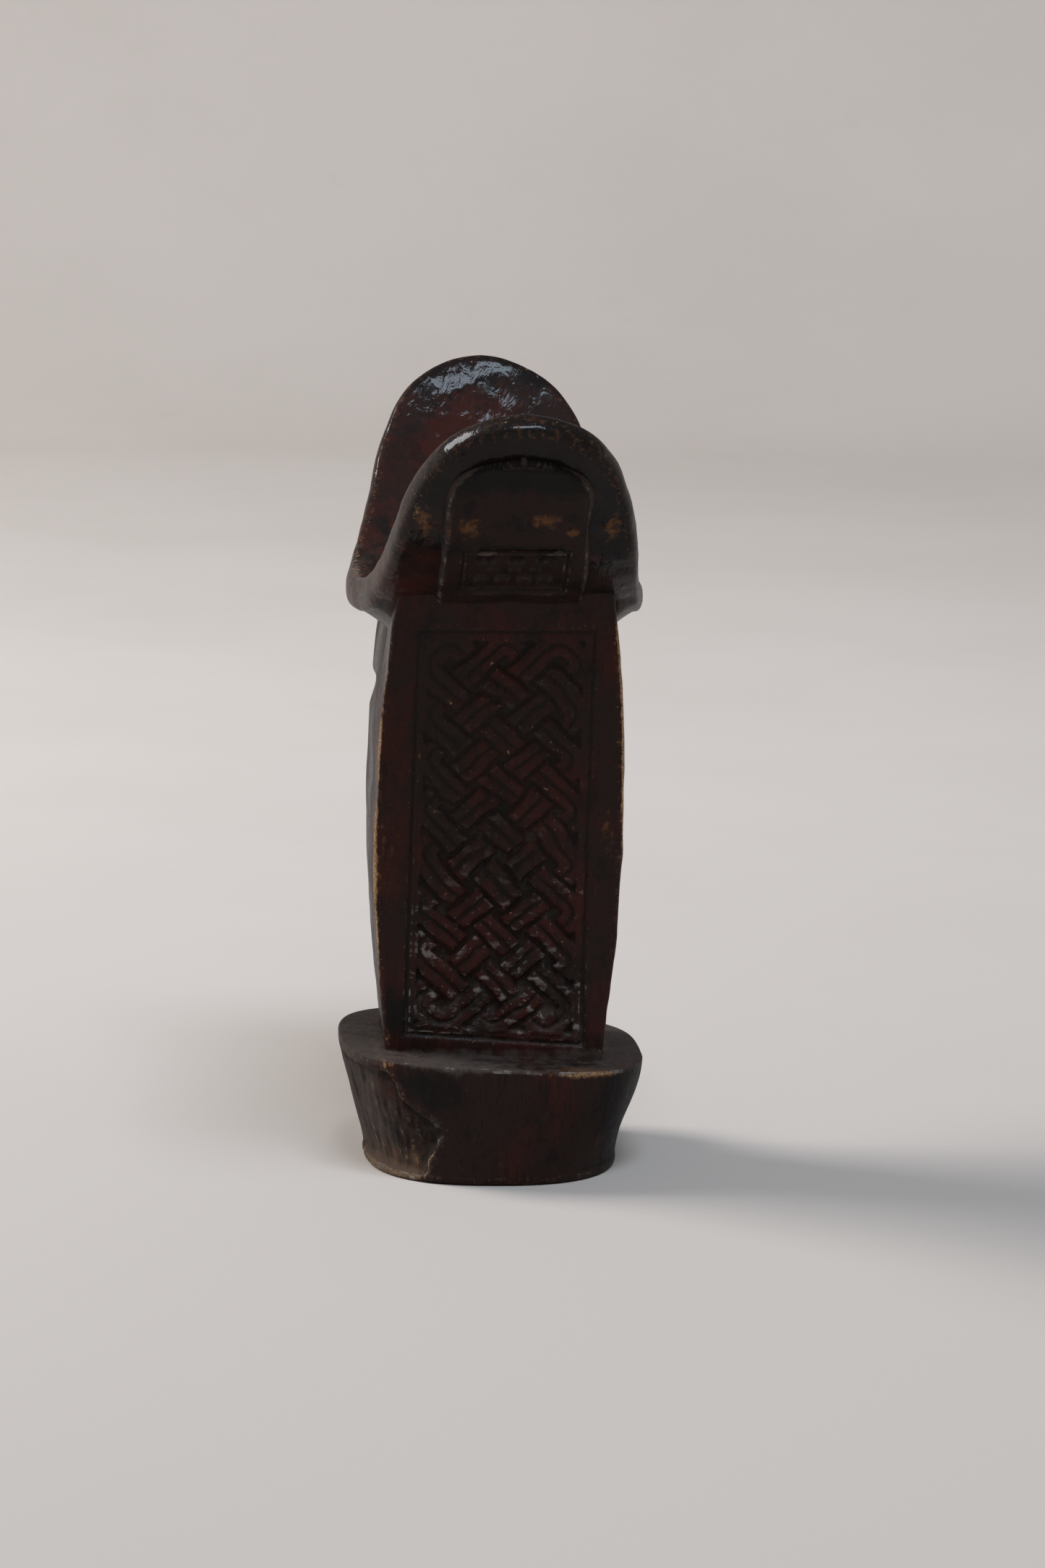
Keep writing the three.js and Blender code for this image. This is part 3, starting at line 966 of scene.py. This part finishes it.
# The pale chalk colour also paints glints on carved edges.
CHALK_AND_GLINT = (0.21, 0.19, 0.17, 1)
DUSTY_BROWN = (0.062, 0.048, 0.040, 1)
# The plaster's near and far tones paint light that falls off towards the front.
PLASTER_NEAR_SHADED = (0.455, 0.402, 0.362, 1)
PLASTER_FAR_LIT = (0.610, 0.552, 0.508, 1)
PLASTER_STAIN = (0.47, 0.415, 0.368, 1)

COAT_ROUGHNESS = 0.11
MOST_ROUGH = 0.9


def make_wood(name, roughness, redness, grain, shine, coat=0.0):
    """Dark patinated wood: red-brown, blackened in hollows, worn to ochre and tan on edges; its
    masks also carry painted shade and painted highlights.
    """
    wood = Surface(name)
    fine, broad = wood.mask("fine"), wood.mask("broad")
    clouds = wood.noise(17, (1, 1, 1.6), 4)
    streaks = wood.noise(1.6, (1, 1, 16), 4, 0.6, 0.4)
    pores = wood.noise(0.34, (1, 1, 9), 2, 0.6)
    specks = wood.noise(1.3, (1, 1, 1.3), 4, 0.65)
    grit = wood.noise(0.45, (1, 1, 1), 3, 0.7)
    mottled = wood.noise(6.5, (1, 1, 1.5), 4, 0.6)

    # Bare wood, from brown to red, then black where the dark mask holds blackened wood and painted
    # shade, and black and olive grime in its hollows and pores.
    tone = wood.plus(wood.times(clouds, 0.75), wood.times(streaks, 0.35))
    share = wood.ramp(tone, 0.70 - 0.3 * redness, 0.86 - 0.3 * redness)
    colour = wood.mix(share, BROWN, RED)
    black = wood.broken(wood.mask("dark"), mottled, 0.66, 0.92)
    colour = wood.mix(wood.times(black, 0.85), colour, BLACK)
    crust = wood.times(wood.ramp(mottled, 0.52, 0.66), 0.5)
    colour = wood.mix(crust, colour, BLACK)
    hollow = wood.ramp(fine, 0.46, 0.26, 0.0, 0.8)
    colour = wood.mix(hollow, colour, OLIVE)
    colour = wood.mix(wood.ramp(pores, 0.60, 0.72, 0.0, 0.55 * grain), colour, BLACK)

    # Rubbed places turn ochre, and their ridges and nicks go down to the pale wood; on the
    # tongue's crest the same colours paint a highlight.
    flecks = wood.plus(wood.times(specks, 0.6), wood.times(streaks, 0.4))
    rubbed_and_lit = wood.broken(wood.mask("wear_and_highlight"), flecks, 0.74, 0.97)
    colour = wood.mix(wood.times(rubbed_and_lit, 0.7), colour, OCHRE)
    bare = wood.times(wood.ramp(broad, 0.76, 1.0), wood.ramp(specks, 0.50, 0.68))
    colour = wood.mix(wood.times(bare, 0.3), colour, OCHRE)
    tip = wood.ramp(fine, 0.60, 0.85)
    scraped_and_lit = wood.times(rubbed_and_lit, wood.times(tip, wood.ramp(grit, 0.36, 0.56)))
    colour = wood.mix(wood.times(scraped_and_lit, 0.9), colour, TAN)
    nick = wood.times(tip, wood.ramp(wood.noise(0.9, (1, 1, 1), 3, 0.7), 0.64, 0.72))
    colour = wood.mix(wood.times(nick, 0.55), colour, TAN)

    # Dust, chalky strokes along the ridges, and crumbs of lint; the dust colour also paints the
    # tongue's crest highlight, and the chalky strokes also paint glints on carved edges.
    dusty_and_lit = wood.broken(wood.mask("dust_and_highlight"), wood.noise(3.2, (1, 1, 1), 5, 0.7), 0.60, 0.94)
    colour = wood.mix(wood.times(dusty_and_lit, 0.75), colour, DUSTY_BROWN)
    ridges = wood.times(wood.mask("chalk_and_glint"), wood.ramp(fine, 0.62, 0.80))
    strokes = wood.ramp(wood.noise(2.6, (1.6, 1, 0.9), 4, 0.65), 0.52, 0.66, 0.0, 0.8)
    colour = wood.mix(wood.times(ridges, strokes), colour, CHALK_AND_GLINT)
    crumbs = wood.ramp(grit, 0.66, 0.74)
    lint = wood.times(crumbs, wood.ramp(mottled, 0.45, 0.6, 0.05, 0.5))
    colour = wood.mix(lint, colour, DUST)
    wood.feed(wood.shader.inputs["Base Color"], colour)

    # Dusty, hollow and rubbed places are rougher, and so are the painted highlights that share
    # their masks.
    rough = wood.ramp(clouds, 0.35, 0.65, roughness - 0.05, roughness + 0.10)
    for mask, more in ((dusty_and_lit, 0.34), (hollow, 0.18), (rubbed_and_lit, 0.10)):
        rough = wood.plus(rough, wood.times(mask, more))
    rough = wood.plus(rough, wood.ramp(specks, 0.4, 0.7, -0.05, 0.07))
    wood.feed(wood.shader.inputs["Roughness"], wood.math("MINIMUM", rough, MOST_ROUGH))
    wood.feed(wood.shader.inputs["Specular IOR Level"], shine)
    wood.feed(wood.shader.inputs["Coat Weight"], coat)
    wood.feed(wood.shader.inputs["Coat Roughness"], COAT_ROUGHNESS)

    # The finest relief, below what the skin's own points hold.
    relief = wood.plus(wood.times(streaks, 0.30 * grain), wood.times(specks, 0.30))
    relief = wood.math("SUBTRACT", relief, wood.ramp(pores, 0.56, 0.74, 0.0, 0.20 * grain))
    relief = wood.plus(relief, wood.times(grit, 0.16))
    relief = wood.plus(relief, wood.times(mottled, 0.3))
    wood.feed(wood.shader.inputs["Normal"], wood.bump(relief, 0.75 * grain, 0.0006))
    if coat:
        polish = wood.noise(2.8, (1, 1.9, 1.9), 3, 0.55, 0.6)
        wood.feed(wood.shader.inputs["Coat Normal"], wood.bump(polish, 0.5, 0.0005))
    return wood.material


# ---- Assembly ----------------------------


def install(piece, node, material):
    piece.data.materials.append(material)
    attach(piece, "root")
    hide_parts(node)


foot_wood = make_wood("foot_wood", roughness=0.50, redness=0.45, grain=1.2, shine=0.12)
neck_rest_wood = make_wood(
    "neck_rest_wood", roughness=0.60, redness=0.7, grain=0.6, shine=0.04, coat=0.27)
column_wood = make_wood("column_wood", roughness=0.40, redness=0.75, grain=1.0, shine=0.13)
tongue_wood = make_wood("tongue_wood", roughness=0.45, redness=0.35, grain=0.9, shine=0.12)

install(make_foot(), "foot", foot_wood)
install(make_neck_rest(), "neck_rest", neck_rest_wood)
install(make_column(), "column", column_wood)
install(make_tongue("carved_front_tongue", 301, False), "front_tongue", tongue_wood)
install(make_tongue("carved_back_tongue", 411, True), "back_tongue", tongue_wood)

# ---- Stage, light and camera -------------


def make_plaster():
    """Pale, faintly clouded plaster, with painted light that makes it a little brighter towards
    the far side.
    """
    plaster = Surface("pale_plaster")
    axes = plaster.add("ShaderNodeSeparateXYZ")
    plaster.feed(axes.inputs["Vector"], plaster.place)
    # Painted light: darker near the front, brighter towards the back.
    away = plaster.ramp(axes.outputs["Y"], -0.5, 0.9)
    colour = plaster.mix(away, PLASTER_NEAR_SHADED, PLASTER_FAR_LIT)
    clouds = plaster.ramp(plaster.noise(260, (1, 1, 1), 4, 0.6), 0.35, 0.65, 0.0, 0.16)
    colour = plaster.mix(clouds, colour, PLASTER_STAIN)
    stains = plaster.ramp(plaster.noise(45, (1, 1, 1), 5, 0.7), 0.60, 0.75, 0.0, 0.12)
    colour = plaster.mix(stains, colour, PLASTER_STAIN)
    plaster.feed(plaster.shader.inputs["Base Color"], colour)
    plaster.feed(plaster.shader.inputs["Roughness"], MOST_ROUGH)
    return plaster.material


def make_stage():
    """A round floor that curves up into a low wall, as one seamless bowl."""
    flat, bend, wall_top, spokes = 1.6, 0.5, 0.75, 96
    profile = [(flat * t, 0.0) for t in (0.15, 0.4, 0.7, 1.0)]
    profile += [(flat + bend * math.sin(a), bend * (1 - math.cos(a)))
                for a in np.linspace(0, math.pi / 2, 24)[1:]]
    profile.append((flat + bend, wall_top))
    vertices = [(r * math.cos(2 * math.pi * k / spokes), r * math.sin(2 * math.pi * k / spokes), z)
                for r, z in profile for k in range(spokes)]
    faces = [tuple(range(spokes))]
    for ring in range(len(profile) - 1):
        for k in range(spokes):
            here, beside = ring * spokes + k, ring * spokes + (k + 1) % spokes
            faces.append((here, here + spokes, beside + spokes, beside))
    mesh = bpy.data.meshes.new("backdrop")
    mesh.from_pydata(vertices, [], faces)
    mesh.shade_smooth()
    backdrop = bpy.data.objects.new("backdrop", mesh)
    bpy.context.scene.collection.objects.link(backdrop)
    mesh.materials.append(make_plaster())


WORLD_COLOUR, WORLD_STRENGTH = (0.97, 0.94, 0.92, 1), 0.20
LIGHT_TARGET = (0, 0.1, 0.1)
CAMERA_TARGET, CAMERA_DISTANCE = (0.00656, 0, 0.08497), 1.283
CAMERA_AZIMUTH, CAMERA_ELEVATION, CAMERA_ROLL = -4.03, 9.04, 0.87   # degrees
SENSOR_WIDTH, FOCAL_LENGTH = 36, 130.93         # millimetres


def add_area(name, place, size, power, colour):
    light = bpy.data.lights.new(name, "AREA")
    light.shape = "RECTANGLE"
    light.size, light.size_y = size
    light.energy = power
    light.color = colour
    lamp = bpy.data.objects.new(name, light)
    lamp.location = place
    aim = Vector(LIGHT_TARGET) - Vector(place)
    lamp.rotation_euler = aim.to_track_quat("-Z", "Y").to_euler()
    bpy.context.scene.collection.objects.link(lamp)


def make_lights():
    world = bpy.data.worlds.new("studio")
    bpy.context.scene.world = world
    world.use_nodes = True
    background = world.node_tree.nodes["Background"]
    background.inputs["Color"].default_value = WORLD_COLOUR
    background.inputs["Strength"].default_value = WORLD_STRENGTH
    add_area("window", (-1.6, 0.65, 1.5), (0.9, 0.9), power=46, colour=(0.98, 0.99, 1.0))
    add_area("sky", (0.28, -0.95, 2.0), (1.0, 0.6), power=34, colour=(0.72, 0.85, 1.0))


def make_camera():
    """Seen from the narrow end, from a little to the left and above, with a slight tilt."""
    azimuth, elevation = math.radians(CAMERA_AZIMUTH), math.radians(CAMERA_ELEVATION)
    back = Vector((math.sin(azimuth) * math.cos(elevation),
                   -math.cos(azimuth) * math.cos(elevation), math.sin(elevation)))
    data = bpy.data.cameras.new("camera")
    data.sensor_width = SENSOR_WIDTH
    data.lens = FOCAL_LENGTH
    camera = bpy.data.objects.new("camera", data)
    bpy.context.scene.collection.objects.link(camera)
    look = (-back).to_track_quat("-Z", "Y").to_matrix()
    turn = look @ Matrix.Rotation(math.radians(CAMERA_ROLL), 3, "Z")
    place = Vector(CAMERA_TARGET) + CAMERA_DISTANCE * back
    camera.matrix_world = Matrix.Translation(place) @ turn.to_4x4()
    bpy.context.scene.camera = camera


make_stage()
make_lights()
make_camera()
bpy.context.scene.view_settings.view_transform = "Standard"
